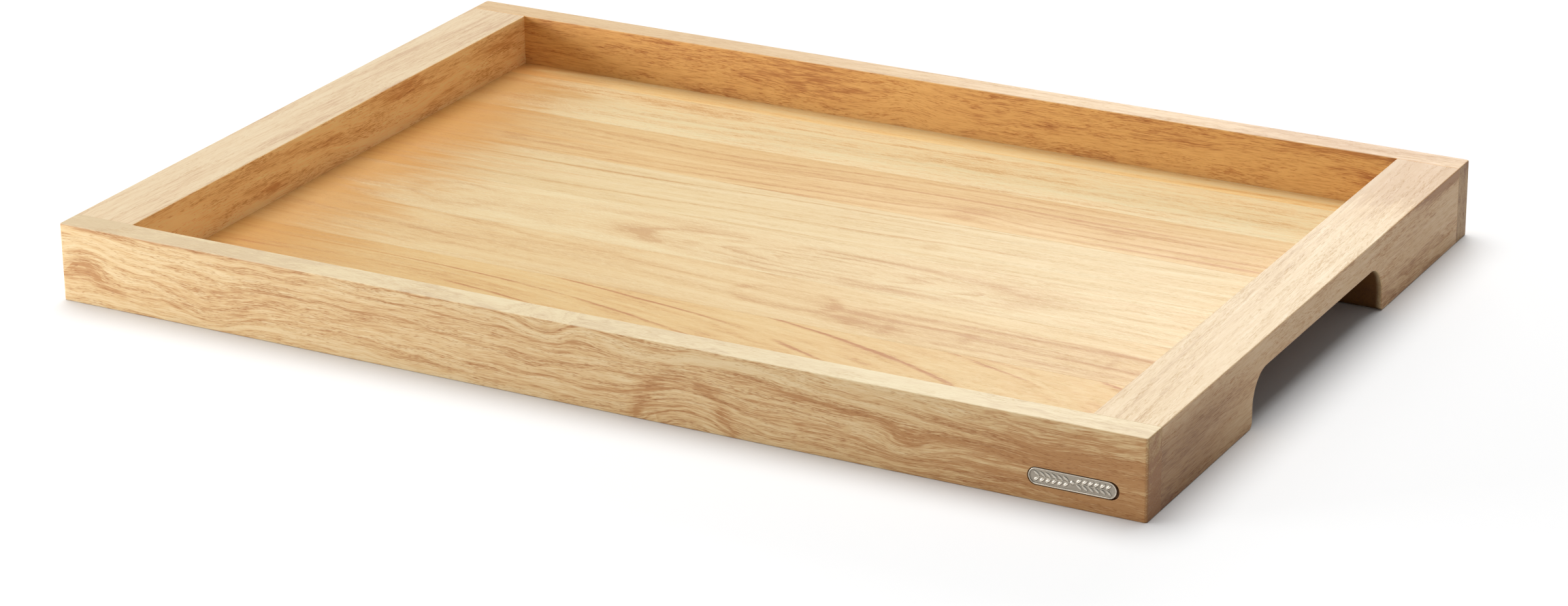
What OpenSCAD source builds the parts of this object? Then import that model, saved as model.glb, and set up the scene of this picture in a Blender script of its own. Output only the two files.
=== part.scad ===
// Wooden serving tray. Two long rails run the full length of the tray, two wide end rails are doweled
// between them, and a floor panel of edge-glued staves sits in a groove round the inside of the frame.
// Each end rail has a finger grip cut into its outer face, and the front rail carries a small metal badge.
//
// +X runs along the tray from its left end to its right end, +Y from the front rail to the back rail,
// +Z up. The origin is on the surface that the tray stands on, under its middle.

/* [Tray] */
// Length over the ends
tray_l = 550; // [450:5:650]
// Width over the front and back rails
tray_w = 375; // [345:5:450]
// Height from the standing surface to the rim
tray_h = 38; // [36:1:60]
// Radius of the four upright corners
corner_r = 1.5; // [1:0.5:10]
// Radius along the outer and inner top edges
top_edge_r = 0.6; // [0.4:0.1:1]
// Radius along the outer bottom edges
bottom_edge_r = 0.6; // [0.4:0.1:1]

/* [Frame] */
// Thickness of the front and back rails
rail_t = 14; // [12:0.5:20]
// Width of the end rails
end_rail_w = 31.5; // [30:0.5:45]

/* [Floor] */
// Depth from the rim to the top of the floor
floor_drop = 26; // [18:0.5:26]
// Thickness of the floor panel
floor_t = 9; // [6:0.5:9]
// Depth of the groove that holds the floor panel
groove_d = 5; // [3:0.5:6]
// Width of a full stave
stave_w = 48.5; // [40:0.5:54]
// Width of the narrow stave at the back that shows inside the tray
back_stave_w = 15.5; // [10:0.5:30]

/* [Finger grips] */
// Width of the grip opening along the end rail
grip_w = 152; // [110:1:180]
// Height of the grip opening above the standing surface
grip_h = 24; // [20:0.5:28]
// Depth of the grip into the end rail
grip_d = 23; // [15:0.5:23]
// Radius of the grip's two top corners
grip_top_r = 14.5; // [6:0.5:18]
// Radius where the grip's sides meet the bottom edge
grip_foot_r = 3; // [1:0.5:5]

/* [Dowels] */
// Diameter of the corner dowels
dowel_d = 8; // [6:1:8]
// Length of the corner dowels
dowel_l = 30; // [25:1:35]
// Depth of a dowel's end inside the front or back rail
dowel_in_rail = 9; // [7:0.5:9]
// Distance between the two dowels of a corner
dowel_pitch = 16; // [14:0.5:17]

/* [Badge] */
// Length of the badge
badge_l = 40.4; // [30:0.1:41]
// Height of the badge
badge_h = 7.7; // [7.4:0.1:8]
// Thickness of the badge to the top of its rim
badge_t = 1.6; // [1:0.1:2]
// Thickness of the adhesive under the badge
adhesive_t = 0.2; // [0.1:0.1:0.4]
// Length of the recess that the badge sits in
recess_l = 42; // [41:0.1:60]
// Height of the recess
recess_h = 8.3; // [8:0.1:11]
// Depth of the recess
recess_d = 2.2; // [1.8:0.1:3.5]
// Distance from the tray's right end to the recess
recess_from_end = 12.5; // [8:0.5:60]
// Height of the recess's centre line
recess_z = 11.3; // [8:0.1:22]

/* [Hidden] */
$fn = 96;

inner_l = tray_l - 2 * end_rail_w;
inner_w = tray_w - 2 * rail_t;
floor_top = tray_h - floor_drop;
panel_l = inner_l + 2 * groove_d;
panel_w = inner_w + 2 * groove_d;
stave_count = 8;

// A bore ends this far past the dowel's end, for glue
glue_gap = 1;
dowel_chamfer = 0.8;
dowel_x = tray_l / 2 - end_rail_w / 2;
dowel_z = tray_h - floor_drop / 2;

// The badge sits against the left end of its recess and a little low in it
recess_x = tray_l / 2 - recess_from_end - recess_l / 2;
badge_x = recess_x - (recess_l - badge_l) / 2 + 0.2;
badge_z = recess_z - 0.15;
badge_rim_w = 0.6;
badge_field_sink = 0.45;
ornament_sink = 0.1;
boss_r = 1.1;
leaf_l = 3.4;
leaf_w = 1.5;
leaf_tilt = 38;
leaf_pairs = 6;
first_leaf_x = 1.6;
last_leaf_x = badge_l / 2 - 2.4 - leaf_l * cos(leaf_tilt);
leaf_pitch = (last_leaf_x - first_leaf_x) / (leaf_pairs - 1);
stem_w = 0.5;

// Cross-section of a slab with rounded top and bottom edges, centred on the Y axis
module slab_profile(w, h, top_r, bottom_r) {
    for (side = [-1, 1]) {
        translate([side * (w / 2 - top_r), h - top_r])
            circle(r = top_r);
        translate([side * (w / 2 - bottom_r), bottom_r])
            circle(r = bottom_r);
    }
    translate([-w / 2, bottom_r])
        square([w, h - top_r - bottom_r]);
    translate([-w / 2 + top_r, h - 2 * top_r])
        square([w - 2 * top_r, 2 * top_r]);
    translate([-w / 2 + bottom_r, 0])
        square([w - 2 * bottom_r, 2 * bottom_r]);
}

// The tray's outer shape as one block, with its upright corners and its top and bottom edges rounded
module outer_block() {
    straight_l = tray_l - 2 * corner_r;
    straight_w = tray_w - 2 * corner_r;
    rotate([90, 0, 90])
        linear_extrude(height = straight_l, center = true)
            slab_profile(tray_w, tray_h, top_edge_r, bottom_edge_r);
    rotate([90, 0, 0])
        linear_extrude(height = straight_w, center = true)
            slab_profile(tray_l, tray_h, top_edge_r, bottom_edge_r);
    for (sx = [-1, 1], sy = [-1, 1])
        translate([sx * straight_l / 2, sy * straight_w / 2, 0])
            rotate_extrude()
                intersection() {
                    slab_profile(2 * corner_r, tray_h, top_edge_r, bottom_edge_r);
                    square([corner_r, tray_h]);
                }
}

// The space of the whole floor panel, with its tongue in the rails' grooves
module panel_space() {
    translate([-panel_l / 2, -panel_w / 2, floor_top - floor_t])
        cube([panel_l, panel_w, floor_t]);
}

// What is cut off the inner top edge of a rail of length l that runs along X, with its inner face at y = 0
// and the rail on the -Y side
module inner_edge_cut(l) {
    translate([0, -top_edge_r, tray_h - top_edge_r])
        rotate([90, 0, 90])
            linear_extrude(height = l, center = true)
                difference() {
                    square(2 * top_edge_r);
                    circle(r = top_edge_r);
                }
}

// Places its children at a dowel's end in the front or back rail, with +Z towards the tray's middle. sx and
// sy are the corner's signs, out is 1 for the dowel nearer the tray's end, and past moves the start outwards
module at_dowel(sx, sy, out, past) {
    start_y = inner_w / 2 + dowel_in_rail + past;
    translate([sx * (dowel_x + out * dowel_pitch / 2), sy * start_y, dowel_z])
        rotate([sy * 90, 0, 0])
            children();
}

// The two dowel bores of one corner, through the joint face and blind at both ends
module dowel_bores(sx, sy) {
    for (out = [-1, 1])
        at_dowel(sx, sy, out, glue_gap)
            cylinder(d = dowel_d, h = dowel_l + 2 * glue_gap);
}

// A corner dowel with chamfered ends
module dowel(sx, sy, out) {
    color("burlywood")
        at_dowel(sx, sy, out, 0) {
            cylinder(d1 = dowel_d - 2 * dowel_chamfer, d2 = dowel_d, h = dowel_chamfer);
            translate([0, 0, dowel_chamfer])
                cylinder(d = dowel_d, h = dowel_l - 2 * dowel_chamfer);
            translate([0, 0, dowel_l - dowel_chamfer])
                cylinder(d1 = dowel_d, d2 = dowel_d - 2 * dowel_chamfer, h = dowel_chamfer);
        }
}

// The front rail without its badge recess; the back rail is its mirror image
module long_rail() {
    difference() {
        intersection() {
            outer_block();
            translate([-tray_l / 2, -tray_w / 2, 0])
                cube([tray_l, rail_t, tray_h]);
        }
        panel_space();
        translate([0, -inner_w / 2, 0])
            inner_edge_cut(inner_l);
        for (sx = [-1, 1])
            dowel_bores(sx, -1);
    }
}

// Outline of the finger grip in the end rail's outer face, with its feet on the standing surface
module grip_outline() {
    half = grip_w / 2;
    below = 1;
    translate([-half, -below])
        square([grip_w, grip_h - grip_top_r + below]);
    translate([-half + grip_top_r, 0])
        square([grip_w - 2 * grip_top_r, grip_h]);
    for (side = [-1, 1]) {
        translate([side * (half - grip_top_r), grip_h - grip_top_r])
            circle(r = grip_top_r);
        difference() {
            translate([side * (half + grip_foot_r / 2), (grip_foot_r - below) / 2])
                square([grip_foot_r, grip_foot_r + below], center = true);
            translate([side * (half + grip_foot_r), grip_foot_r])
                circle(r = grip_foot_r);
        }
    }
}

// The right end rail; the left one is its mirror image
module end_rail() {
    difference() {
        intersection() {
            outer_block();
            translate([inner_l / 2, -inner_w / 2, 0])
                cube([end_rail_w, inner_w, tray_h]);
        }
        panel_space();
        translate([inner_l / 2, 0, 0])
            rotate([0, 0, 90])
                inner_edge_cut(inner_w);
        translate([tray_l / 2 - grip_d, 0, 0])
            rotate([90, 0, 90])
                linear_extrude(height = grip_d + 1)
                    grip_outline();
        for (sy = [-1, 1])
            dowel_bores(1, sy);
    }
}

// Round-ended outline, length l and height h
module stadium(l, h) {
    square([l - h, h], center = true);
    for (side = [-1, 1])
        translate([side * (l - h) / 2, 0])
            circle(d = h);
}

// Places its children on the front face at (x, z), with their +Z pointing out of the tray and z = 0 at
// the depth given
module on_front_face(x, z, depth) {
    translate([x, -tray_w / 2 + depth, z])
        rotate([90, 0, 0])
            children();
}

module badge_recess() {
    on_front_face(recess_x, recess_z, recess_d)
        linear_extrude(height = recess_d + 1)
            stadium(recess_l, recess_h);
}

module front_rail() {
    color("burlywood")
        difference() {
            long_rail();
            badge_recess();
        }
}

module back_rail() {
    color("burlywood")
        mirror([0, 1, 0])
            long_rail();
}

module left_end_rail() {
    color("tan")
        mirror([1, 0, 0])
            end_rail();
}

module right_end_rail() {
    color("tan")
        end_rail();
}

// Where the joint behind stave i lies, counting staves from the back; 0 is the panel's back edge
function joint_y(i) =
    i == 0 ? panel_w / 2
    : i == stave_count ? -panel_w / 2
    : inner_w / 2 - back_stave_w - (i - 1) * stave_w;

// Stave i of the floor panel, from 1 at the back to 8 at the front
module floor_stave(i) {
    color(i % 2 == 0 ? "wheat" : "moccasin")
        translate([-panel_l / 2, joint_y(i), floor_top - floor_t])
            cube([panel_l, joint_y(i - 1) - joint_y(i), floor_t]);
}

module badge_adhesive() {
    color("dimgray")
        on_front_face(badge_x, badge_z, recess_d)
            linear_extrude(height = adhesive_t)
                stadium(badge_l - 1, badge_h - 1);
}

// A pointed leaf lying along X, with its stem end at the origin
module leaf() {
    lobe_r = (leaf_l * leaf_l + leaf_w * leaf_w) / (4 * leaf_w);
    intersection() {
        translate([leaf_l / 2, lobe_r - leaf_w / 2])
            circle(r = lobe_r);
        translate([leaf_l / 2, leaf_w / 2 - lobe_r])
            circle(r = lobe_r);
    }
}

// A leafy sprig that runs outwards along X from the boss in the badge's middle
module sprig() {
    for (i = [0:leaf_pairs - 1], side = [-1, 1])
        translate([first_leaf_x + i * leaf_pitch, side * stem_w / 2])
            rotate(side * leaf_tilt)
                leaf();
    translate([0, -stem_w / 2])
        square([last_leaf_x + leaf_l / 2, stem_w]);
}

// The metal badge: a round-ended plate with a raised rim and a leafy ornament standing on its field
module badge_plate() {
    field_t = badge_t - badge_field_sink;
    color("silver") on_front_face(badge_x, badge_z, recess_d - adhesive_t) {
        linear_extrude(height = badge_t)
            difference() {
                stadium(badge_l, badge_h);
                stadium(badge_l - 2 * badge_rim_w, badge_h - 2 * badge_rim_w);
            }
        linear_extrude(height = field_t)
            stadium(badge_l - badge_rim_w, badge_h - badge_rim_w);
        linear_extrude(height = badge_t - ornament_sink) {
            sprig();
            mirror([1, 0])
                sprig();
            circle(r = boss_r);
        }
    }
}

front_rail();
back_rail();
left_end_rail();
right_end_rail();
floor_stave(1);  // floor_stave_1
floor_stave(2);  // floor_stave_2
floor_stave(3);  // floor_stave_3
floor_stave(4);  // floor_stave_4
floor_stave(5);  // floor_stave_5
floor_stave(6);  // floor_stave_6
floor_stave(7);  // floor_stave_7
floor_stave(8);  // floor_stave_8
dowel(-1, -1, 1);  // dowel_front_left_outer
dowel(-1, -1, -1);  // dowel_front_left_inner
dowel(1, -1, -1);  // dowel_front_right_inner
dowel(1, -1, 1);  // dowel_front_right_outer
dowel(-1, 1, 1);  // dowel_back_left_outer
dowel(-1, 1, -1);  // dowel_back_left_inner
dowel(1, 1, -1);  // dowel_back_right_inner
dowel(1, 1, 1);  // dowel_back_right_outer
badge_adhesive();
badge_plate();
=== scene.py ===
import math
from dataclasses import dataclass

import bmesh
import bpy
from mathutils import Matrix, Vector


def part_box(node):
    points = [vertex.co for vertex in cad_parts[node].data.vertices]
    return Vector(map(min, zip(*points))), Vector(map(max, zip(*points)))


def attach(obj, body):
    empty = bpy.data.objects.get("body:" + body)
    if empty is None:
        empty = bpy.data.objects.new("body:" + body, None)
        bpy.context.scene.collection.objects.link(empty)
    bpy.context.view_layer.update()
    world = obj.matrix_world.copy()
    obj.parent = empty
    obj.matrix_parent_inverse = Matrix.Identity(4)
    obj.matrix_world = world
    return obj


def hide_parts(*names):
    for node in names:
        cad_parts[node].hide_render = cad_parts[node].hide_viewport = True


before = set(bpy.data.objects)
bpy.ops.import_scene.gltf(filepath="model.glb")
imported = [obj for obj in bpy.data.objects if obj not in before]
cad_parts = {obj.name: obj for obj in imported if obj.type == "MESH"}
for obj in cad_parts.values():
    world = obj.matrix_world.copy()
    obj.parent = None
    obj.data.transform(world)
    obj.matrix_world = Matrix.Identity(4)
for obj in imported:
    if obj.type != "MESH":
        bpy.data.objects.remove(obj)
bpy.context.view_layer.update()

# A wooden serving tray: four rails round a floor of edge-glued staves, with two finger grips and a metal
# badge. The tray's lengths are in millimetres in the CAD's frame, until make_object() turns them into metres.
# The camera, the studio's floor and the lights are in metres.

MM = 0.001


# ---------------------------------------------------------------------------------------------
# Camera, floor and light
# ---------------------------------------------------------------------------------------------

CAMERA_AT = (0.9452, -1.7301, 0.7676)
CAMERA_AIM = (0.0485, -0.0811, 0.0190)
CAMERA_ROLL = math.radians(-0.58)
CAMERA_LENS = 102.79
SENSOR_WIDTH = 36.0


def link(obj):
    bpy.context.scene.collection.objects.link(obj)
    return obj


def make_camera():
    data = bpy.data.cameras.new("camera")
    data.lens = CAMERA_LENS
    data.sensor_width = SENSOR_WIDTH
    camera = link(bpy.data.objects.new("camera", data))
    camera.location = CAMERA_AT
    aim = (Vector(CAMERA_AIM) - Vector(CAMERA_AT)).to_track_quat("-Z", "Y")
    camera.rotation_euler = (aim.to_matrix() @ Matrix.Rotation(CAMERA_ROLL, 3, "Z")).to_euler()
    bpy.context.scene.camera = camera


# The studio's floor: a flat disc whose rim curves up, far behind the tray, so that no view ends at a horizon
FLOOR_RADIUS = 6.0
FLOOR_RISE = 1.2
FLOOR_SEGMENTS = 96
FLOOR_RISE_STEPS = 12


def make_floor():
    bm = bmesh.new()
    rings = []
    for k in range(FLOOR_RISE_STEPS + 1):
        angle = math.pi / 2 * k / FLOOR_RISE_STEPS
        radius = FLOOR_RADIUS + FLOOR_RISE * math.sin(angle)
        height = FLOOR_RISE * (1 - math.cos(angle))
        turns = [2 * math.pi * i / FLOOR_SEGMENTS for i in range(FLOOR_SEGMENTS)]
        rings.append([bm.verts.new((radius * math.cos(t), radius * math.sin(t), height)) for t in turns])
    bm.faces.new(rings[0])
    for inner, outer in zip(rings, rings[1:]):
        for i in range(FLOOR_SEGMENTS):
            j = (i + 1) % FLOOR_SEGMENTS
            bm.faces.new((inner[i], outer[i], outer[j], inner[j])).smooth = True
    mesh = bpy.data.meshes.new("floor")
    bm.to_mesh(mesh)
    bm.free()
    floor = link(bpy.data.objects.new("floor", mesh))
    material = bpy.data.materials.new("floor_white")
    material.use_nodes = True
    shader = material.node_tree.nodes["Principled BSDF"]
    shader.inputs["Base Color"].default_value = (0.75, 0.75, 0.75, 1)
    shader.inputs["Roughness"].default_value = 0.9
    shader.inputs["Specular IOR Level"].default_value = 0.1
    mesh.materials.append(material)


def aim_at(obj, target):
    obj.rotation_euler = (Vector(target) - obj.location).to_track_quat("-Z", "Y").to_euler()


def make_softbox(name, at, target, size, watts):
    data = bpy.data.lights.new(name, "AREA")
    data.shape = "RECTANGLE"
    data.size, data.size_y = size
    data.energy = watts
    lamp = link(bpy.data.objects.new(name, data))
    lamp.location = at
    aim_at(lamp, target)


def make_sun(name, direction_from, strength, angle_deg):
    data = bpy.data.lights.new(name, "SUN")
    data.energy = strength
    data.angle = math.radians(angle_deg)
    sun = link(bpy.data.objects.new(name, data))
    sun.location = direction_from
    aim_at(sun, (0, 0, 0))


WORLD_LIGHT = 0.20


def make_lights():
    world = bpy.data.worlds.new("studio")
    world.use_nodes = True
    background = world.node_tree.nodes["Background"]
    background.inputs["Color"].default_value = (1.0, 1.0, 1.0, 1)
    background.inputs["Strength"].default_value = WORLD_LIGHT
    bpy.context.scene.world = world
    make_sun("overhead", direction_from=(-0.32, 0.36, 1.6), strength=3.33, angle_deg=52)
    make_softbox("front_left", at=(-0.80, -0.80, 0.16), target=(-0.2, -0.19, 0.02), size=(0.6, 0.24), watts=8)
    make_softbox("back_panel", at=(-0.3, 1.8, 0.6), target=(0.1, 0.0, 0.0), size=(1.0, 0.6), watts=12)
    bpy.context.scene.view_settings.view_transform = "Standard"


# ---------------------------------------------------------------------------------------------
# A small language for procedural materials
# ---------------------------------------------------------------------------------------------


# The share of light that a surface reflects where it looks white on screen under the studio's light
WHITE = 0.66


def paint(red, green, blue):
    """The reflectance of a surface that looks this colour, 0 to 255 on screen, in full studio light."""
    shares = [value / 255 for value in (red, green, blue)]
    return tuple(WHITE * (c / 12.92 if c <= 0.04045 else ((c + 0.055) / 1.055) ** 2.4) for c in shares)


def tint(red, green, blue):
    """A colour to multiply another by, 1 for no change."""
    return (red, green, blue)


class Field:
    """A number that a material works out at each point of the surface, with plain arithmetic on it."""

    def __init__(self, graph, socket):
        self.graph = graph
        self.socket = socket

    def __add__(self, other):
        return self.graph.math("ADD", self, other)

    def __radd__(self, other):
        return self.graph.math("ADD", other, self)

    def __sub__(self, other):
        return self.graph.math("SUBTRACT", self, other)

    def __rsub__(self, other):
        return self.graph.math("SUBTRACT", other, self)

    def __mul__(self, other):
        return self.graph.math("MULTIPLY", self, other)

    def __truediv__(self, other):
        return self.graph.math("DIVIDE", self, other)

    def __neg__(self):
        return self.graph.math("MULTIPLY", self, -1.0)


class Graph:
    """The node tree of one material, built by calls."""

    def __init__(self, name):
        self.material = bpy.data.materials.new(name)
        self.material.use_nodes = True
        self.tree = self.material.node_tree
        self.shader = self.tree.nodes["Principled BSDF"]

    def node(self, kind):
        return self.tree.nodes.new(kind)

    def put(self, value, socket):
        if isinstance(value, Field):
            self.tree.links.new(value.socket, socket)
        else:
            socket.default_value = value

    def math(self, operation, *values):
        node = self.node("ShaderNodeMath")
        node.operation = operation
        for value, socket in zip(values, node.inputs):
            self.put(value, socket)
        return Field(self, node.outputs[0])

    def position_mm(self):
        """The point's x, y and z in the tray's frame, in millimetres."""
        where = self.node("ShaderNodeTexCoord")
        split = self.node("ShaderNodeSeparateXYZ")
        self.tree.links.new(where.outputs["Object"], split.inputs[0])
        return [Field(self, split.outputs[i]) * 1000.0 for i in range(3)]

    def noise(self, x, y, z, detail=0.0, roughness=0.5):
        """Smooth noise around 0, mostly within -0.3 to 0.3, that changes over one unit of x, y and z."""
        join = self.node("ShaderNodeCombineXYZ")
        for value, socket in zip((x, y, z), join.inputs):
            self.put(value, socket)
        texture = self.node("ShaderNodeTexNoise")
        self.tree.links.new(join.outputs[0], texture.inputs["Vector"])
        texture.inputs["Scale"].default_value = 1.0
        texture.inputs["Detail"].default_value = detail
        texture.inputs["Roughness"].default_value = roughness
        return Field(self, texture.outputs["Fac"]) - 0.5

    def step(self, value, low, high):
        """0 below low, 1 above high, and smooth between them. With low above high it falls instead."""
        node = self.node("ShaderNodeMapRange")
        node.interpolation_type = "SMOOTHSTEP"
        self.put(value, node.inputs["Value"])
        ends = (low, high, 0.0, 1.0) if low < high else (high, low, 1.0, 0.0)
        for name, end in zip(("From Min", "From Max", "To Min", "To Max"), ends):
            node.inputs[name].default_value = end
        return Field(self, node.outputs[0])

    def hill(self, x, y, half_x, half_y):
        """A smooth hill of height 1 over x = y = 0, with its half-widths along x and y."""
        squared = self.math("POWER", x / half_x, 2.0) + self.math("POWER", y / half_y, 2.0)
        return self.math("EXPONENT", -squared)

    def ramp(self, value, stops):
        """A colour that runs through stops, a list of (place, colour)."""
        node = self.node("ShaderNodeValToRGB")
        self.put(value, node.inputs[0])
        elements = node.color_ramp.elements
        while len(elements) < len(stops):
            elements.new(0.5)
        for element, (place, colour) in zip(elements, stops):
            element.position = place
            element.color = (*colour, 1)
        return node.outputs[0]

    def blend(self, amount, base, top, mode="MIX"):
        """base with the colour top laid over it by amount."""
        node = self.node("ShaderNodeMix")
        node.data_type = "RGBA"
        node.blend_type = mode
        self.put(amount, node.inputs["Factor"])
        for value, name in ((base, "A_Color"), (top, "B_Color")):
            socket = next(s for s in node.inputs if s.identifier == name)
            if isinstance(value, tuple):
                socket.default_value = (*value, 1)
            else:
                self.tree.links.new(value, socket)
        return next(s for s in node.outputs if s.identifier == "Result_Color")

    def bump(self, height, depth_mm):
        node = self.node("ShaderNodeBump")
        node.inputs["Distance"].default_value = depth_mm * MM
        node.inputs["Strength"].default_value = 1.0
        self.put(height, node.inputs["Height"])
        self.tree.links.new(node.outputs[0], self.shader.inputs["Normal"])

    def colour(self, socket):
        self.tree.links.new(socket, self.shader.inputs["Base Color"])

    def roughness(self, value):
        self.put(value, self.shader.inputs["Roughness"])


# ---------------------------------------------------------------------------------------------
# Wood
# ---------------------------------------------------------------------------------------------


@dataclass
class Board:
    """How one board grew and weathered, and the light, shade and sheen painted on it. Lengths are in mm, and
    places along the grain, across it and into the board are in the tray's frame. Amounts of tone run from 0,
    the pale colour, to 1, the deep one."""

    seed: float
    # The axes along the grain and across the board's widest face
    grain: str = "x"
    across: str = "y"
    # The palest, middle and deepest colour, as paint() takes them
    pale: tuple = (250, 222, 176)
    mid: tuple = (240, 204, 152)
    deep: tuple = (206, 150, 96)
    # Growth rings: the place of the tree's heart (across, into the board), how it drifts along the board, the
    # gap between rings, the share of it over which a ring darkens, how uneven the rings are, and their tone
    ring_centre: tuple = (0.0, -90.0)
    ring_slope: float = 0.05
    ring_gap: float = 9.0
    ring_width: float = 0.3
    ring_wobble: float = 0.9
    rings: float = 0.30
    # How far the grain lines stray over a hand's width and over a finger's width
    wander: float = 8.0
    waver: float = 1.0
    # Amounts of tone of the soft patches, the broad bands, the streaks and the fibres
    mottle: float = 0.5
    bands: float = 0.9
    streaks: float = 0.6
    streak_length: float = 50.0
    fibres: float = 1.2
    # Amounts of the dark pores, and of the pale flecks that lie slantwise
    pores: float = 0.3
    flecks: float = 0.0
    # Where the grain bends: (along, across, half length, half width, lift of the grain lines)
    bends: tuple = ()
    # Soft spots: (along, across, half length, half width, amount), above 0 darker and below 0 paler
    spots: tuple = ()
    # Outlined figures: (along, across, half length, half width, squareness from 2 up, outline, inside,
    # inner rings, wobble)
    figures: tuple = ()
    # A stain: (colour, place along, place along where it has gone, amount)
    stain: tuple = ()
    # Faces multiplied by a colour: the darker end grain, and painted light and shade on faces that get more
    # or less light: (axis, place of the face, depth, colour to multiply by)
    end_grain_and_painted_light: tuple = ()
    # A face with painted sheen, its colour evened out towards one colour and its pores partly hidden: (axis,
    # place of the face, depth, colour, amount)
    painted_sheen_face: tuple = ()
    # Zones multiplied by a colour: painted shade in hollows and where less light falls, and patches of
    # another tone: (centre, half sizes, fading distances, colour)
    shade_and_tone_zones: tuple = ()


BASE_TONE = 0.36
PORE_TINT = tint(0.72, 0.54, 0.38)
STAIN_DEPTH = tint(0.92, 0.78, 0.58)
# Painted shade in a grip's hollow
GRIP_PAINTED_SHADE = tint(0.22, 0.11, 0.02)
# Painted shade in the badge's recess
RECESS_PAINTED_SHADE = tint(0.40, 0.30, 0.22)
END_GRAIN = tint(0.66, 0.57, 0.42)
AXES = "xyz"


def wood(name, board):
    """A wood with a clear oil finish, whose rings, streaks and pores all follow one grown grain, with the
    light, shade and sheen that the board has painted on it.
    """
    g = Graph(name)
    point = dict(zip(AXES, g.position_mm()))
    deep_axis = next(a for a in AXES if a not in (board.grain, board.across))
    # u runs along the grain, v across it and w into the board, and s makes each board's noise its own
    u, v, w = point[board.grain], point[board.across], point[deep_axis]
    s = board.seed * 17.0

    lift = g.noise(u / 150.0 + s, v / 40.0, w / 40.0) * board.wander
    lift = lift + g.noise(u / 24.0 - s, v / 9.0, w / 9.0, 1.0) * board.waver
    for along, across, half_l, half_w, height in board.bends:
        lift = lift + g.hill(u - along, v - across, half_l, half_w) * height
    flow = v - lift
    centre_v, centre_w = board.ring_centre
    side_v = flow - centre_v
    side_w = w - centre_w - u * board.ring_slope
    radius = g.math("SQRT", side_v * side_v + side_w * side_w)

    blotch = g.noise(u / 80.0 + s, flow / 13.0, w / 13.0, 2.0)
    band = g.noise(u / 260.0 - s, radius / 4.0, flow / 10.0, 1.0)
    fine = v - lift * 0.4
    streak = g.noise(u / board.streak_length + s, radius / 1.3, fine / 1.6, 2.0, 0.6)
    fibre = g.noise(u / 8.0 - s, fine / 0.45, w / 0.45, 2.0, 0.6)

    turn = g.math("FRACT", radius / board.ring_gap + blotch * board.ring_wobble)
    ring = g.step(turn, 0.95 - board.ring_width, 0.94) * g.step(turn, 1.0, 0.95)
    ring = ring * g.step(g.noise(u / 160.0, radius / 10.0 + s, flow / 14.0), -0.24, 0.10)

    tone = BASE_TONE + blotch * board.mottle + band * board.bands + streak * board.streaks
    tone = tone + fibre * board.fibres + ring * board.rings
    for along, across, half_l, half_w, amount in board.spots:
        tone = tone + g.hill(u - along, v - across, half_l, half_w) * amount
    for along, across, half_l, half_w, square, outline, inside, rings, wobble in board.figures:
        reach_u = g.math("POWER", g.math("ABSOLUTE", (u - along) / half_l), square)
        reach_v = g.math("POWER", g.math("ABSOLUTE", (v - across) / half_w), square)
        reach = g.math("POWER", reach_u + reach_v, 1 / square)
        reach = reach + g.noise(u / 16.0, v / 6.0 + s, w / 8.0, 1.0) * wobble
        edge = (reach - 1.0) / 0.14
        patchy = g.step(g.noise(u / 20.0, v / 8.0, w / 8.0 - s), -0.2, 0.2)
        line = g.math("EXPONENT", -(edge * edge)) * (0.7 + patchy * 0.3)
        tone = tone + line * outline + g.step(reach, 1.0, 0.8) * inside
        if rings:
            wave = g.math("FRACT", reach * rings)
            wave = g.step(wave, 0.4, 0.9) * g.step(wave, 1.0, 0.92)
            tone = tone + wave * patchy * g.step(reach, 1.3, 0.8) * outline

    if board.flecks:
        slant_u = u * 0.87 - v * 0.5
        slant_v = u * 0.5 + v * 0.87
        fleck = g.step(g.noise(slant_u / 3.2, slant_v / 0.55, w / 0.55 + s, 1.0), 0.02, 0.22)
        tone = tone - fleck * board.flecks

    dash = g.noise(u / 3.4 + s, fine / 0.3, w / 0.3, 1.0, 0.6)
    crowd = g.noise(u / 60.0, radius / 2.5, flow / 5.0 + s, 1.0)
    pore = g.step(dash + crowd * 0.6, 0.06, 0.26)

    tones = [(0.0, board.pale), (0.5, board.mid), (1.0, board.deep)]
    colour = g.ramp(tone, [(place, paint(*shade)) for place, shade in tones])
    if board.stain:
        shade, full, gone, amount = board.stain
        soaked = g.step(u + streak * 90.0 + blotch * 120.0 + band * 80.0, gone, full) * amount
        colour = g.blend(soaked, colour, paint(*shade))
        colour = g.blend(soaked * g.step(streak + blotch + band, -0.1, 0.3), colour, STAIN_DEPTH, "MULTIPLY")
    open_pore = pore * board.pores
    # Painted sheen: the face is blended towards one even, paler colour, and its pores fade
    if board.painted_sheen_face:
        axis, face, depth, shade, amount = board.painted_sheen_face
        sheen_mask = g.step(point[axis], face + depth, face)
        colour = g.blend(sheen_mask * amount, colour, paint(*shade))
        open_pore = open_pore * (1.0 - sheen_mask * 0.6)
    colour = g.blend(open_pore, colour, PORE_TINT, "MULTIPLY")
    # Faces multiplied by a colour: darker end grain, and painted light and shade
    for axis, face, depth, shade in board.end_grain_and_painted_light:
        colour = g.blend(g.step(point[axis], face + depth, face), colour, shade, "MULTIPLY")
    # Zones multiplied by a colour: painted shade in hollows and where less light falls, and patches of
    # another tone
    for centre, half, fade, shade in board.shade_and_tone_zones:
        inside = 1.0
        for axis, middle, reach, soft in zip(AXES, centre, half, fade):
            away = g.math("ABSOLUTE", point[axis] - middle)
            inside = g.step(away, reach, reach - soft) * inside
        colour = g.blend(inside, colour, shade, "MULTIPLY")
    g.colour(colour)
    g.roughness(0.50 + streak * 0.2 + pore * 0.15)
    g.bump(fibre * 0.5 + ring * 0.1 - pore * 0.9, 0.05)
    return g.material


# ---------------------------------------------------------------------------------------------
# Mesh helpers
# ---------------------------------------------------------------------------------------------

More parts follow.
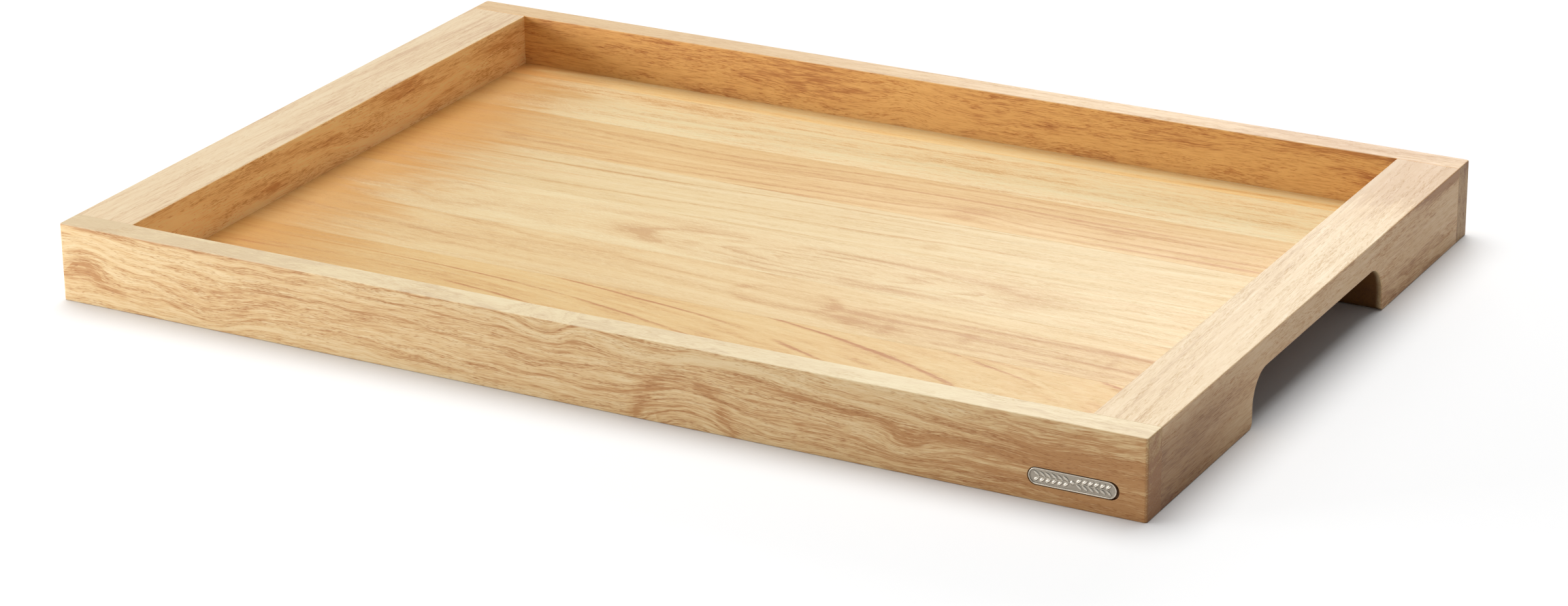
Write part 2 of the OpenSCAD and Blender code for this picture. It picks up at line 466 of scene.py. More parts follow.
LONG_STEP = 8.0
EDGE_STEPS = 5
# How far from a sharp corner the next vertex is, which has to be further than any edge radius
CORNER_RUN = 2.2
SMOOTH_ANGLE = math.radians(38)


@dataclass
class Corner:
    """A corner of a rail's plan, with the top and bottom radius of the edge that leaves it, in mm."""

    x: float
    y: float
    top: float
    bottom: float
    fillet: float = 0.0


def plan_vertices(corners):
    """Walks round a plan, corners first to last with the rail on the left, and gives for each vertex its
    place and its (outward normal, top radius, bottom radius) of one side, or of two at a sharp corner."""
    count = len(corners)
    walk = []
    for i, corner in enumerate(corners):
        before, after = corners[i - 1], corners[(i + 1) % count]
        here = Vector((corner.x, corner.y))
        came = (here - Vector((before.x, before.y))).normalized()
        goes = (Vector((after.x, after.y)) - here).normalized()
        side_in = Vector((came.y, -came.x))
        side_out = Vector((goes.y, -goes.x))
        start, end = here, Vector((after.x, after.y))
        if corner.fillet:
            centre = here - (side_in + side_out) * corner.fillet
            turn = math.atan2(side_out.y, side_out.x) - math.atan2(side_in.y, side_in.x)
            turn = (turn + math.pi) % (2 * math.pi) - math.pi
            for k in range(EDGE_STEPS + 1):
                angle = math.atan2(side_in.y, side_in.x) + turn * k / EDGE_STEPS
                normal = Vector((math.cos(angle), math.sin(angle)))
                walk.append((centre + normal * corner.fillet, [(normal, corner.top, corner.bottom)]))
            start = centre + side_out * corner.fillet
        elif came.dot(goes) > 0.999:
            walk.append((here, [(side_out, min(before.top, corner.top), min(before.bottom, corner.bottom))]))
        else:
            walk.append((here, [(side_in, before.top, before.bottom), (side_out, corner.top, corner.bottom)]))
        if after.fillet:
            end = end - goes * after.fillet
        length = (end - start).length
        pieces = max(2, round(length / LONG_STEP))
        run = CORNER_RUN / length
        for t in [run] + [k / pieces for k in range(1, pieces)] + [1 - run]:
            walk.append((start.lerp(end, t), [(side_out, corner.top, corner.bottom)]))
    return walk


def bridge(bm, loops):
    """Fills the bands between loops of equal length with quads."""
    count = len(loops[0])
    for low, high in zip(loops, loops[1:]):
        for i in range(count):
            j = (i + 1) % count
            bm.faces.new((low[i], low[j], high[j], high[i]))


def rail_bmesh(corners, height):
    """A closed rail of that plan, with its top and bottom edges rounded side by side."""
    bm = bmesh.new()
    walk = plan_vertices(corners)
    levels = [(False, 1 - k / EDGE_STEPS) for k in range(EDGE_STEPS + 1)]
    levels += [(True, k / EDGE_STEPS) for k in range(EDGE_STEPS + 1)]
    loops = []
    for is_top, share in levels:
        angle = share * math.pi / 2
        loop = []
        for place, sides in walk:
            spot = place.copy()
            for normal, top, bottom in sides:
                spot -= normal * (top if is_top else bottom) * (1 - math.cos(angle))
            radius = max((top if is_top else bottom) for normal, top, bottom in sides)
            drop = radius * (1 - math.sin(angle))
            loop.append(bm.verts.new((spot.x, spot.y, height - drop if is_top else drop)))
        loops.append(loop)
    bridge(bm, loops)
    bm.faces.new(list(reversed(loops[0])))
    bm.faces.new(loops[-1])
    return bm


def slice_across(bm, axis, low, high, step):
    """Cuts the mesh into even strips, so that long faces become rows of quads."""
    normal = Vector([1.0 if i == axis else 0.0 for i in range(3)])
    count = max(2, round((high - low) / step))
    for k in range(1, count):
        at = low + (high - low) * k / count
        geometry = bm.verts[:] + bm.edges[:] + bm.faces[:]
        bmesh.ops.bisect_plane(bm, geom=geometry, dist=0.02, plane_co=normal * at, plane_no=normal)


def box_bmesh(low, high):
    bm = bmesh.new()
    bmesh.ops.create_cube(bm, size=1.0)
    size = [b - a for a, b in zip(low, high)]
    middle = [(a + b) / 2 for a, b in zip(low, high)]
    bmesh.ops.transform(bm, matrix=Matrix.Translation(middle) @ Matrix.Diagonal((*size, 1)), verts=bm.verts)
    return bm


def loft_bmesh(loops):
    """A closed solid through loops of equal length, each a list of points."""
    bm = bmesh.new()
    rings = [[bm.verts.new(p) for p in loop] for loop in loops]
    bridge(bm, rings)
    bm.faces.new(list(reversed(rings[0])))
    bm.faces.new(rings[-1])
    bmesh.ops.recalc_face_normals(bm, faces=bm.faces)
    return bm


def make_object(name, bm):
    """An object in metres from a mesh drawn in millimetres."""
    bmesh.ops.scale(bm, vec=(MM, MM, MM), verts=bm.verts)
    mesh = bpy.data.meshes.new(name)
    bm.to_mesh(mesh)
    bm.free()
    return link(bpy.data.objects.new(name, mesh))


def carve(obj, cutters):
    """obj with the cutters' solids taken out of it. The cutters are used up."""
    for cutter in cutters:
        tool = make_object("cutter", cutter)
        cut = obj.modifiers.new("cut", "BOOLEAN")
        cut.operation = "DIFFERENCE"
        cut.solver = "EXACT"
        cut.object = tool
        bpy.context.view_layer.update()
        evaluated = obj.evaluated_get(bpy.context.evaluated_depsgraph_get())
        mesh = bpy.data.meshes.new_from_object(evaluated)
        obj.modifiers.clear()
        obj.data = mesh
        bpy.data.objects.remove(tool)
    return obj


def smooth(obj):
    """Smooth shading that keeps flat faces flat and sharp edges sharp."""
    bm = bmesh.new()
    bm.from_mesh(obj.data)
    bmesh.ops.remove_doubles(bm, verts=bm.verts, dist=1e-6)
    for face in bm.faces:
        face.smooth = True
    for edge in bm.edges:
        edge.smooth = len(edge.link_faces) == 2 and edge.calc_face_angle(0) < SMOOTH_ANGLE
    bm.to_mesh(obj.data)
    bm.free()
    weighted = obj.modifiers.new("weighted_normals", "WEIGHTED_NORMAL")
    weighted.keep_sharp = True


def finish_piece(obj, material, node):
    obj.data.materials.clear()
    obj.data.materials.append(material)
    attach(obj, "root")
    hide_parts(node)


def box_mm(node):
    """A CAD node's lowest and highest corner, in millimetres."""
    return [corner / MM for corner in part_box(node)]


# ---------------------------------------------------------------------------------------------
# The tray's dimensions, from the frame
# ---------------------------------------------------------------------------------------------

front_low, front_high = box_mm("front_rail")
end_low, end_high = box_mm("right_end_rail")
stave_names = [f"floor_stave_{i}" for i in range(1, 9)]
stave_boxes = [box_mm(n) for n in stave_names]

HALF_L = front_high.x
HALF_W = -front_low.y
HEIGHT = front_high.z
INNER_HALF_L = end_low.x
INNER_HALF_W = end_high.y
PANEL_LOW = [stave_boxes[-1][0].x, stave_boxes[-1][0].y, stave_boxes[0][0].z]
PANEL_HIGH = [stave_boxes[0][1].x, stave_boxes[0][1].y, stave_boxes[0][1].z]
FLOOR_TOP = PANEL_HIGH[2]

# Radii of the edges, as in the CAD, and the slight easing of the edges at a joint
TOP_R = 0.6
BOTTOM_R = 0.6
CORNER_R = 1.5
JOINT_EASE = 0.16

GRIP_HALF_W = 76.0
GRIP_TOP = 24.0
GRIP_DEPTH = 23.0
GRIP_TOP_R = 14.5
GRIP_FOOT_R = 3.0
GRIP_LIP_R = 0.7
# How far the grip's and the recess's cutters stand out of the rail's face, and the grip's below its underside
CUT_CLEAR = 2.0
CUT_BELOW = 4.0
ARC_STEPS = 12

# The badge sits near the left end of its recess and a little low in it
badge_low, badge_high = box_mm("badge_plate")
BADGE_FROM_LEFT = 0.2
BADGE_LOW_BY = 0.15
RECESS_L = 42.0
RECESS_H = 8.3
RECESS_LIP_R = 0.25
RECESS_X = badge_low.x - BADGE_FROM_LEFT + RECESS_L / 2
RECESS_Z = (badge_low.z + badge_high.z) / 2 + BADGE_LOW_BY
RECESS_FLOOR_Y = box_mm("badge_adhesive")[1].y


# ---------------------------------------------------------------------------------------------
# Rails
# ---------------------------------------------------------------------------------------------


def long_rail_bmesh():
    """The front rail, before its groove, recess and dowel bores are cut."""
    corners = [
        Corner(-HALF_L, -HALF_W, TOP_R, BOTTOM_R, CORNER_R),
        Corner(HALF_L, -HALF_W, TOP_R, BOTTOM_R, CORNER_R),
        Corner(HALF_L, -INNER_HALF_W, JOINT_EASE, JOINT_EASE),
        Corner(INNER_HALF_L, -INNER_HALF_W, TOP_R, JOINT_EASE),
        Corner(-INNER_HALF_L, -INNER_HALF_W, JOINT_EASE, JOINT_EASE),
        Corner(-HALF_L, -INNER_HALF_W, TOP_R, BOTTOM_R),
    ]
    bm = rail_bmesh(corners, HEIGHT)
    slice_across(bm, 0, -HALF_L, HALF_L, LONG_STEP * 2)
    return bm


def end_rail_bmesh():
    """The right end rail, before its groove, grip and dowel bores are cut."""
    corners = [
        Corner(INNER_HALF_L, -INNER_HALF_W, JOINT_EASE, JOINT_EASE),
        Corner(HALF_L, -INNER_HALF_W, TOP_R, BOTTOM_R),
        Corner(HALF_L, INNER_HALF_W, JOINT_EASE, JOINT_EASE),
        Corner(INNER_HALF_L, INNER_HALF_W, TOP_R, JOINT_EASE),
    ]
    bm = rail_bmesh(corners, HEIGHT)
    slice_across(bm, 1, -INNER_HALF_W, INNER_HALF_W, LONG_STEP * 2)
    return bm


def grip_outline(grow):
    """The grip's outline in the outer face as (y, z), made larger all round by grow."""
    points = []
    foot_y, top_y = GRIP_HALF_W + GRIP_FOOT_R, GRIP_HALF_W - GRIP_TOP_R
    foot_r = GRIP_FOOT_R - grow
    points.append((foot_y, -CUT_BELOW))
    for k in range(ARC_STEPS // 2 + 1):
        angle = math.pi / 2 * k / (ARC_STEPS // 2)
        points.append((foot_y - foot_r * math.sin(angle), GRIP_FOOT_R - foot_r * math.cos(angle)))
    for k in range(ARC_STEPS + 1):
        angle = math.pi / 2 * k / ARC_STEPS
        reach = GRIP_TOP_R + grow
        points.append((top_y + reach * math.cos(angle), GRIP_TOP - GRIP_TOP_R + reach * math.sin(angle)))
    return points + [(-y, z) for y, z in reversed(points)]


def grip_cutter(side):
    """What the router took out of an end rail's outer face, with an eased lip. side is 1 at the right."""
    loops = []
    back_x, face_x = HALF_L - GRIP_DEPTH, HALF_L
    # The router bit's rounded nose leaves the hollow's back edge soft
    stations = [(back_x, -1.5), (back_x + 0.5, -0.6), (back_x + 1.5, 0.0), (face_x - GRIP_LIP_R, 0.0)]
    for k in range(1, EDGE_STEPS + 1):
        angle = math.pi / 2 * k / EDGE_STEPS
        stations.append((face_x - GRIP_LIP_R * (1 - math.sin(angle)), GRIP_LIP_R * (1 - math.cos(angle))))
    stations.append((face_x + CUT_CLEAR, GRIP_LIP_R))
    for x, grow in stations:
        loops.append([(side * x, y, z) for y, z in grip_outline(grow)])
    return loft_bmesh(loops)


def cylinder_bmesh(radius, start, end, segments=32):
    """A cylinder along Y from start to end, points in mm."""
    loops = []
    for y in (start.y, end.y):
        ring = [2 * math.pi * k / segments for k in range(segments)]
        loops.append([(start.x + radius * math.cos(a), y, start.z + radius * math.sin(a)) for a in ring])
    return loft_bmesh(loops)


def dowel_bores(end, side):
    """The bores round the two dowels at one corner of the frame."""
    cutters = []
    for place in ("outer", "inner"):
        low, high = box_mm(f"dowel_{side}_{end}_{place}")
        middle = (low + high) / 2
        start = Vector((middle.x, low.y - 1.0, middle.z))
        stop = Vector((middle.x, high.y + 1.0, middle.z))
        cutters.append(cylinder_bmesh((high.x - low.x) / 2, start, stop))
    return cutters


def stadium_loop(length, height, steps=20):
    """A round-ended outline as (x, z) about its middle."""
    points = []
    radius = height / 2
    for side in (1, -1):
        for k in range(steps + 1):
            angle = -math.pi / 2 + math.pi * k / steps
            x = (length / 2 - radius) + radius * math.cos(angle)
            points.append((side * x, side * radius * math.sin(angle)))
    return points


def recess_cutter():
    """The routed recess for the badge, with a slightly eased lip."""
    loops = []
    face_y = -HALF_W
    stations = [(RECESS_FLOOR_Y, 0.0), (face_y + RECESS_LIP_R, 0.0)]
    for k in range(1, 4):
        angle = math.pi / 2 * k / 3
        rise = RECESS_LIP_R * (1 - math.sin(angle))
        stations.append((face_y + rise, RECESS_LIP_R * (1 - math.cos(angle))))
    stations.append((face_y - CUT_CLEAR, RECESS_LIP_R))
    for y, grow in stations:
        outline = stadium_loop(RECESS_L + 2 * grow, RECESS_H + 2 * grow)
        loops.append([(RECESS_X + x, y, RECESS_Z + z) for x, z in outline])
    return loft_bmesh(loops)


def make_rail(name, bm, cutters, board):
    rail = carve(make_object(name, bm), [box_bmesh(PANEL_LOW, PANEL_HIGH)] + cutters)
    smooth(rail)
    finish_piece(rail, wood(f"wood_{name}", board), name)


def mirrored(bm, axis):
    """The same mesh on the other side of the tray."""
    factors = [-1.0 if i == axis else 1.0 for i in range(3)]
    bmesh.ops.scale(bm, vec=factors, verts=bm.verts)
    bmesh.ops.reverse_faces(bm, faces=bm.faces)
    return bm


# The zone of painted shade in a grip's hollow starts just behind the rail's outer face and ends short of its
# inner face. These are its half sizes, its fading distances and its middle at the right end.
GRIP_REACH = (14.5, 79.0, 15.0)
GRIP_FADE = (3.0, 2.0, 0.6)
GRIP_BEHIND_FACE = 0.25
GRIP_MIDDLE_X = HALF_L - GRIP_BEHIND_FACE - GRIP_REACH[0]
GRIP_MIDDLE_Z = 10.0

FRONT_BOARD = Board(
    seed=1,
    across="z",
    pale=(250, 220, 168),
    mid=(237, 196, 137),
    deep=(203, 146, 84),
    ring_centre=(-60.0, -150.0),
    ring_gap=7.0,
    ring_width=0.35,
    rings=0.42,
    wander=16.0,
    waver=6.0,
    mottle=0.9,
    bands=1.2,
    streaks=0.85,
    streak_length=22.0,
    fibres=2.0,
    pores=1.0,
    bends=(
        (-260, 20, 14, 10, 7),
        (-193, 11, 18, 9, -8),
        (-15, 40, 12, 12, -9),
        (45, 33, 26, 10, -6),
        (58, 2, 22, 16, 16),
        (166, 12, 20, 9, -10),
        (225, 24, 60, 14, -6),
    ),
    spots=(
        (235, 22, 55, 7, 0.4),
        (258, 8, 80, 22, 0.70),
        (-108, 21, 12, 3, 0.25),
        (-50, 10, 7, 1.2, 0.4),
        (-225, 30, 26, 6, -0.15),
        # Painted shade on the top near the left end, so that the top grows paler towards the right along with
        # the painted sheen
        (-235, 39, 70, 2.5, 0.8),
    ),
    figures=(
        (-260, 20, 11, 9, 2, 0.10, 0.22, 0, 0.5),
        (-160, 33, 26, 6, 2, 0.16, 0.12, 0, 0.5),
        (56, -4, 25, 28, 2, 0.34, 0.06, 2, 0.5),
    ),
    end_grain_and_painted_light=(("x", HALF_L, -0.6, END_GRAIN), ("x", -HALF_L, 0.6, END_GRAIN)),
    painted_sheen_face=("z", HEIGHT, -0.5, (255, 246, 208), 0.52),
    # Painted shade in the badge's recess
    shade_and_tone_zones=(((RECESS_X, RECESS_FLOOR_Y - 0.9, RECESS_Z), (22.0, 1.2, 5.0), (0.4, 0.6, 0.4), RECESS_PAINTED_SHADE),),
)
BACK_BOARD = Board(
    seed=2,
    across="z",
    pale=(242, 210, 162),
    mid=(230, 192, 142),
    deep=(192, 140, 90),
    wander=14.0,
    waver=5.0,
    mottle=0.65,
    bands=1.1,
    streaks=1.2,
    streak_length=14.0,
    fibres=2.2,
    pores=1.0,
    bends=((-20, 18, 16, 14, 9), (205, 26, 50, 8, 6)),
    spots=((-10, 14, 14, 5, -0.2), (62, 26, 8, 3, 0.4), (218, 24, 40, 6, 0.2), (225, 38, 60, 5, 0.7)),
    end_grain_and_painted_light=(
        # Painted light: the back rail's inner face, which lies in shade, made redder and less blue, as if lit
        # by warm light bounced off the wood
        ("y", INNER_HALF_W, 0.4, tint(1.36, 1.06, 0.59)),
        ("x", HALF_L, -0.6, END_GRAIN),
        ("x", -HALF_L, 0.6, END_GRAIN),
    ),
    painted_sheen_face=("z", HEIGHT, -0.5, (241, 206, 156), 0.5),
)
LEFT_BOARD = Board(
    seed=3,
    grain="y",
    across="z",
    wander=12.0,
    waver=4.0,
    mottle=1.1,
    bands=1.4,
    streaks=1.1,
    streak_length=18.0,
    fibres=1.6,
    pores=1.0,
    bends=((-15, 14, 20, 10, 8),),
    spots=((150, 30, 18, 6, 0.3), (-15, 12, 8, 3, 0.35)),
    # Painted light: the left rail's inner face made brighter, as if more light fell on it
    end_grain_and_painted_light=(("x", -INNER_HALF_L, -0.4, tint(1.72, 1.60, 1.28)),),
    painted_sheen_face=("z", HEIGHT, -0.5, (250, 234, 206), 0.35),
    # Painted shade in the grip's hollow
    shade_and_tone_zones=(((-GRIP_MIDDLE_X, 0.0, GRIP_MIDDLE_Z), GRIP_REACH, GRIP_FADE, GRIP_PAINTED_SHADE),),
)
RIGHT_BOARD = Board(
    seed=4,
    grain="y",
    across="z",
    deep=(196, 148, 92),
    ring_slope=-0.03,
    wander=5.0,
    streaks=0.8,
    streak_length=26.0,
    fibres=1.9,
    pores=0.8,
    # The first spot is painted shade, darkening the front part of the rail where less light falls; the second
    # darkens the top's back end
    spots=((-165, 6, 70, 24, 0.3), (175, 38, 45, 4, 2.4)),
    # Painted shade: the right rail's outer face, which looks away from the light, made darker and warmer
    end_grain_and_painted_light=(("x", HALF_L, -0.5, tint(0.92, 0.83, 0.77)),),
    painted_sheen_face=("z", HEIGHT, -0.5, (246, 222, 182), 0.5),
    shade_and_tone_zones=(
        # Painted shade in the grip's hollow
        ((GRIP_MIDDLE_X, 0.0, GRIP_MIDDLE_Z), GRIP_REACH, GRIP_FADE, GRIP_PAINTED_SHADE),
        # Painted shade on the front part of the outer face, where less light falls
        ((HALF_L, -190.0, 6.0), (0.6, 130.0, 40.0), (0.3, 90.0, 24.0), tint(0.58, 0.48, 0.32)),
        ((HALF_L, 180.0, HEIGHT), (30.0, 130.0, 0.6), (4.0, 100.0, 0.3), tint(0.93, 0.85, 0.74)),
    ),
)


def make_rails():
    make_rail(
        "front_rail",
        long_rail_bmesh(),
        [recess_cutter()] + dowel_bores("left", "front") + dowel_bores("right", "front"),
        FRONT_BOARD,
    )
    make_rail(
        "back_rail",
        mirrored(long_rail_bmesh(), 1),
        dowel_bores("left", "back") + dowel_bores("right", "back"),
        BACK_BOARD,
    )
    make_rail(
        "left_end_rail",
        mirrored(end_rail_bmesh(), 0),
        [grip_cutter(-1)] + dowel_bores("left", "front") + dowel_bores("left", "back"),
        LEFT_BOARD,
    )
    make_rail(
        "right_end_rail",
        end_rail_bmesh(),
        [grip_cutter(1)] + dowel_bores("right", "front") + dowel_bores("right", "back"),
        RIGHT_BOARD,
    )


# ---------------------------------------------------------------------------------------------
# Floor staves
# ---------------------------------------------------------------------------------------------

STAVE_EASE = 0.12

FLOOR_STAIN = (230, 168, 82)
STAVE_BOARDS = [
    Board(
        seed=11,
        pale=(255, 236, 180),
        mid=(255, 224, 155),
        deep=(238, 184, 105),
        bands=1.2,
        flecks=0.15,
        stain=(FLOOR_STAIN, -240, -175, 0.9),
        # Painted light: the top of the stave by the back rail made brighter, lifting the back rail's shadow
        # on it
        end_grain_and_painted_light=(("z", FLOOR_TOP, -0.6, tint(1.13, 1.04, 1.0)),),
    ),
    Board(
        seed=12,
        pale=(255, 233, 180),
        mid=(254, 220, 162),
        deep=(228, 174, 105),
        rings=0.12,
        waver=4.0,
        mottle=1.1,
        bands=1.3,
        streaks=1.2,
        streak_length=14.0,
        pores=0.35,
        flecks=0.35,
        spots=((-222, 148, 30, 2.5, 0.8), (-215, 128, 26, 10, 0.35)),
        stain=(FLOOR_STAIN, -245, -170, 0.9),
    ),
    Board(
        seed=13,
        pale=(249, 213, 150),
        mid=(239, 195, 127),
        deep=(214, 154, 82),
        ring_centre=(-60.0, -60.0),
        ring_gap=6.0,
        ring_width=0.5,
        ring_wobble=0.35,
        rings=0.36,
        wander=10.0,
        waver=0.5,
        bands=1.2,
        streaks=0.4,
        flecks=0.14,
        bends=((-93, 92, 60, 14, -5), (62, 76, 22, 9, 5)),
        spots=((65, 77, 12, 8, 0.3), (-190, 76, 9, 6, 0.25), (140, 82, 9, 5, 0.2), (40, 82, 220, 12, 0.15)),
        stain=(FLOOR_STAIN, -235, -150, 1.0),
    ),
    Board(
        seed=14,
        pale=(250, 224, 172),
        mid=(241, 209, 150),
        deep=(220, 170, 100),
        ring_centre=(-80.0, -60.0),
        ring_gap=11.0,
        ring_width=0.2,
        ring_wobble=0.3,
        rings=0.5,
        waver=0.5,
        streaks=0.3,
        flecks=0.14,
        bends=((230, 45, 150, 20, 10),),
        spots=((68, 28, 9, 6, 0.3),),
        stain=(FLOOR_STAIN, -235, -145, 1.0),
    ),
    Board(
        seed=15,
        pale=(252, 228, 176),
        mid=(244, 211, 154),
        deep=(222, 176, 116),
        ring_centre=(-10.0, -20.0),
        rings=0.10,
        waver=4.0,
        mottle=0.8,
        streaks=0.4,
        streak_length=30.0,
        flecks=0.25,
        spots=((-42, -3, 11, 6, 0.22), (136, -22, 9, 7, 0.22), (184, -3, 11, 6, 0.2)),
        figures=((36, -15, 108, 17, 2, 0.40, 0.05, 4, 0.18), (-170, -10, 26, 14, 2, 0.20, 0.08, 2, 0.4)),
        stain=(FLOOR_STAIN, -240, -160, 0.9),
    ),
    Board(
        seed=16,
        pale=(251, 222, 166),
        mid=(242, 205, 144),
        deep=(216, 164, 100),
        waver=0.6,
        streaks=0.4,
        flecks=0.2,
        spots=((96, -72, 4, 8, 0.3), (134, -68, 4, 8, 0.3), (203, -66, 2, 10, 0.2), (-150, -60, 50, 10, 0.2)),
        figures=((172, -66, 98, 12, 5, 0.45, 0.18, 0, 0.12), (38, -60, 26, 11, 2.5, 0.38, 0.14, 0, 0.2)),
        stain=(FLOOR_STAIN, -235, -160, 0.8),
    ),
    Board(
        seed=17,
        pale=(248, 213, 148),
        mid=(240, 196, 125),
        deep=(206, 140, 75),
        ring_centre=(-150.0, 54.0),
        ring_slope=0.237,
        ring_gap=14.2,
        ring_width=0.11,
        ring_wobble=0.15,
        rings=0.62,
        wander=5.0,
        waver=0.3,
        bands=1.2,
        streaks=0.4,
        flecks=0.15,
        stain=(FLOOR_STAIN, -240, -130, 0.9),
    ),
    Board(seed=18, mid=(242, 208, 149), stain=(FLOOR_STAIN, -240, -150, 0.9)),
]


def make_staves():
    for name, (low, high), board in zip(stave_names, stave_boxes, STAVE_BOARDS):
        corners = [
            Corner(low.x, low.y, STAVE_EASE, STAVE_EASE),
            Corner(high.x, low.y, STAVE_EASE, STAVE_EASE),
            Corner(high.x, high.y, STAVE_EASE, STAVE_EASE),
            Corner(low.x, high.y, STAVE_EASE, STAVE_EASE),
        ]
        bm = rail_bmesh(corners, high.z - low.z)
        bmesh.ops.translate(bm, vec=(0, 0, low.z), verts=bm.verts)
        slice_across(bm, 0, low.x, high.x, LONG_STEP * 2)
        stave = make_object(name, bm)
        smooth(stave)
        finish_piece(stave, wood(f"wood_{name}", board), name)


# ---------------------------------------------------------------------------------------------
# Badge
# ---------------------------------------------------------------------------------------------

BADGE_LENGTH = badge_high.x - badge_low.x
BADGE_HEIGHT = badge_high.z - badge_low.z
BADGE_STEP = 0.16
BADGE_ARC_STEPS = 28
BADGE_BACK_EASE = 0.2
RIM_WIDTH = 0.6
RIM_HEIGHT = 0.45
RIM_ROUND = 0.18
# The rim's inner slope is this wide, with the rim's width measured to its middle
RIM_SLOPE = 0.3
RIM_STEP = 0.06
RIM_STEPS = 13

LEAF_LENGTH = 3.4
LEAF_WIDTH = 1.5
LEAF_HEIGHT = 0.38
LEAF_TILT = math.radians(38)
LEAF_PAIRS = 6
FIRST_LEAF_X = 1.6
LAST_LEAF_X = BADGE_LENGTH / 2 - 2.4 - LEAF_LENGTH * math.cos(LEAF_TILT)
VEIN_WIDTH = 0.24
STEM_WIDTH = 0.5
BOSS_R = 1.1


def dome(reach, power):
    """1 in the middle, falling to 0 where reach is 1. A higher power gives steeper sides."""
    return max(0.0, 1.0 - abs(reach) ** power)


def leaf_relief(along, across):
    """How far a leaf stands out at a point. It lies along the first axis with its stem end at the origin."""
    share = along / LEAF_LENGTH
    if not 0.0 < share < 1.0:
        return 0.0
    half = LEAF_WIDTH / 2 * math.sin(math.pi * share) ** 0.8
    vein = 0.4 * dome(min(1.0, across / VEIN_WIDTH), 1.0)
    return LEAF_HEIGHT * max(0.0, dome(across / half, 4.0) - vein)


def ornament_relief(x, z):
    """How far the badge's leafy ornament stands out of its field, at a place about the badge's middle."""
    x, z = abs(x), abs(z)
    relief = LEAF_HEIGHT * dome(math.hypot(x, z) / BOSS_R, 3.0)
    if x < LAST_LEAF_X + LEAF_LENGTH / 2:
        relief = max(relief, 0.8 * LEAF_HEIGHT * dome(2 * z / STEM_WIDTH, 2.0))
    for i in range(LEAF_PAIRS):
        right = x - FIRST_LEAF_X - i * (LAST_LEAF_X - FIRST_LEAF_X) / (LEAF_PAIRS - 1)
        up = z - STEM_WIDTH / 2
        along = right * math.cos(LEAF_TILT) + up * math.sin(LEAF_TILT)
        across = up * math.cos(LEAF_TILT) - right * math.sin(LEAF_TILT)
        relief = max(relief, leaf_relief(along, across))
    return relief


def rim_relief(inset):
    """How far the badge's rim stands out of its field, at a distance in from the badge's outline."""
    if inset < RIM_ROUND:
        return RIM_HEIGHT - RIM_ROUND * (1 - math.sqrt(1 - (1 - inset / RIM_ROUND) ** 2))
    inner = (inset - RIM_WIDTH + RIM_SLOPE / 2) / RIM_SLOPE
    slope = min(1.0, max(0.0, inner))
    return RIM_HEIGHT * (1 - slope * slope * (3 - 2 * slope))


def badge_outline(inset):
    """Points round the badge's outline, moved in by inset, as (x, z) about its middle."""
    run = BADGE_LENGTH - BADGE_HEIGHT
    radius = BADGE_HEIGHT / 2 - inset
    steps = round(run / BADGE_STEP)
    points = []
    for side in (1, -1):
        for k in range(BADGE_ARC_STEPS + 1):
            angle = -math.pi / 2 + math.pi * k / BADGE_ARC_STEPS
            points.append((side * (run / 2 + radius * math.cos(angle)), side * radius * math.sin(angle)))
        for k in range(1, steps):
            points.append((side * (run / 2 - run * k / steps), side * radius))
    return points


def badge_bmesh():
    """The badge: loops from the middle of its back round its edge to the middle of its face."""
    middle_x = (badge_low.x + badge_high.x) / 2
    middle_z = (badge_low.z + badge_high.z) / 2
    field_y = badge_low.y + RIM_HEIGHT
    insets = [RIM_STEP * k for k in range(RIM_STEPS)]
    while insets[-1] + BADGE_STEP < BADGE_HEIGHT / 2 - 0.05:
        insets.append(insets[-1] + BADGE_STEP)
    bm = bmesh.new()
    loops = []
    for inset, y in ((BADGE_BACK_EASE, badge_high.y), (0.0, badge_high.y - BADGE_BACK_EASE)):
        loops.append([bm.verts.new((middle_x + x, y, middle_z + z)) for x, z in badge_outline(inset)])
    for inset in insets:
        loop = []
        for x, z in badge_outline(inset):
            relief = max(rim_relief(inset), ornament_relief(x, z))
            loop.append(bm.verts.new((middle_x + x, field_y - relief, middle_z + z)))
        loops.append(loop)
    bridge(bm, loops)
    bm.faces.new(list(reversed(loops[0])))
    # The middle is closed by quads across the straight run and by one face at each round end
    last = loops[-1]
    half = len(last) // 2
    upper = last[BADGE_ARC_STEPS:half + 1]
    lower = list(reversed(last[half + BADGE_ARC_STEPS:] + [last[0]]))
    for k in range(len(upper) - 1):
        bm.faces.new((upper[k], upper[k + 1], lower[k + 1], lower[k]))
    bm.faces.new(last[:BADGE_ARC_STEPS + 1])
    bm.faces.new(last[half:half + BADGE_ARC_STEPS + 1])
    bmesh.ops.recalc_face_normals(bm, faces=bm.faces)
    return bm


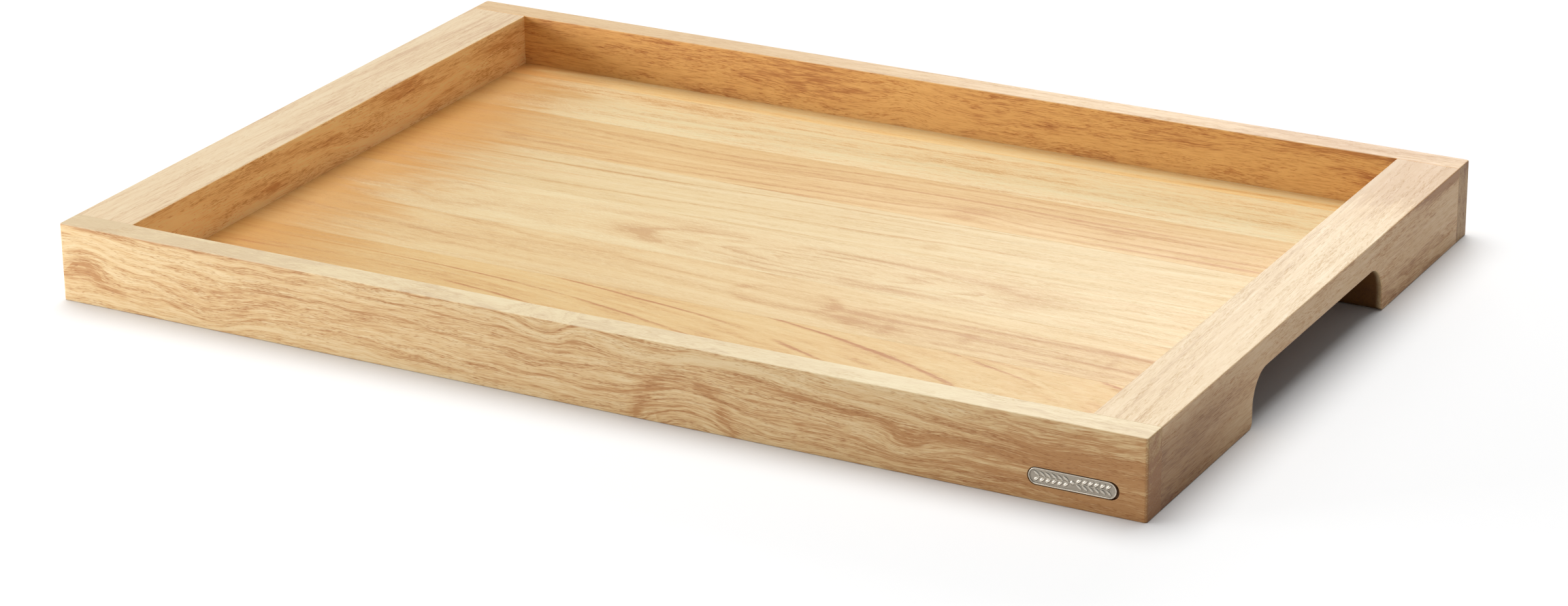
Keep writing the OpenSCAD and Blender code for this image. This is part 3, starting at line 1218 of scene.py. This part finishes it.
def pewter():
    """Old cast pewter: a bright rim and leaves, a dull dark film left in the field round them."""
    g = Graph("pewter")
    x, y, z = g.position_mm()
    cast = g.noise(x / 1.3, y / 1.3, z / 1.3, 3.0, 0.65)
    grit = g.noise(x / 0.3, y / 0.3, z / 0.3, 1.0)
    film = g.step(y - badge_low.y + cast * 0.3, 0.12, 0.44)
    colour = g.ramp(cast * 1.2 + 0.5, [(0.2, (0.50, 0.46, 0.39)), (0.8, (0.72, 0.67, 0.58))])
    colour = g.blend(film * 0.6, colour, (0.22, 0.185, 0.145))
    g.colour(colour)
    g.shader.inputs["Metallic"].default_value = 1.0
    g.roughness(0.34 + film * 0.2 + grit * 0.3)
    g.bump(cast * 0.6 + grit * 0.3, 0.04)
    return g.material


def make_badge():
    badge = make_object("badge", badge_bmesh())
    smooth(badge)
    finish_piece(badge, pewter(), "badge_plate")


# ---------------------------------------------------------------------------------------------
# Hidden parts, which keep their CAD shapes
# ---------------------------------------------------------------------------------------------

DOWEL_BOARD = Board(seed=21, grain="y", across="x", pale=(246, 226, 190), mid=(234, 206, 164), mottle=0.7)


def adhesive():
    """A dark foam pad, with its open cells."""
    g = Graph("adhesive_foam")
    x, y, z = g.position_mm()
    cells = g.noise(x / 0.35, y / 0.35, z / 0.35, 2.0)
    wide = g.noise(x / 6.0, y / 6.0, z / 6.0, 1.0)
    g.colour(g.ramp(cells + wide * 0.5 + 0.5, [(0.25, (0.02, 0.02, 0.02)), (0.75, (0.07, 0.065, 0.06))]))
    g.roughness(0.8 + cells * 0.3)
    g.bump(cells, 0.08)
    return g.material


def dress_node(name, material):
    """Gives a shown CAD node its material."""
    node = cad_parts[name]
    node.data.materials.clear()
    node.data.materials.append(material)


def dress_hidden_parts():
    dowel_wood = wood("wood_dowel", DOWEL_BOARD)
    for side in ("front", "back"):
        for end in ("left", "right"):
            for place in ("outer", "inner"):
                dress_node(f"dowel_{side}_{end}_{place}", dowel_wood)
    dress_node("badge_adhesive", adhesive())


# ---------------------------------------------------------------------------------------------
# Everything
# ---------------------------------------------------------------------------------------------

make_camera()
make_floor()
make_lights()
make_rails()
make_staves()
make_badge()
dress_hidden_parts()
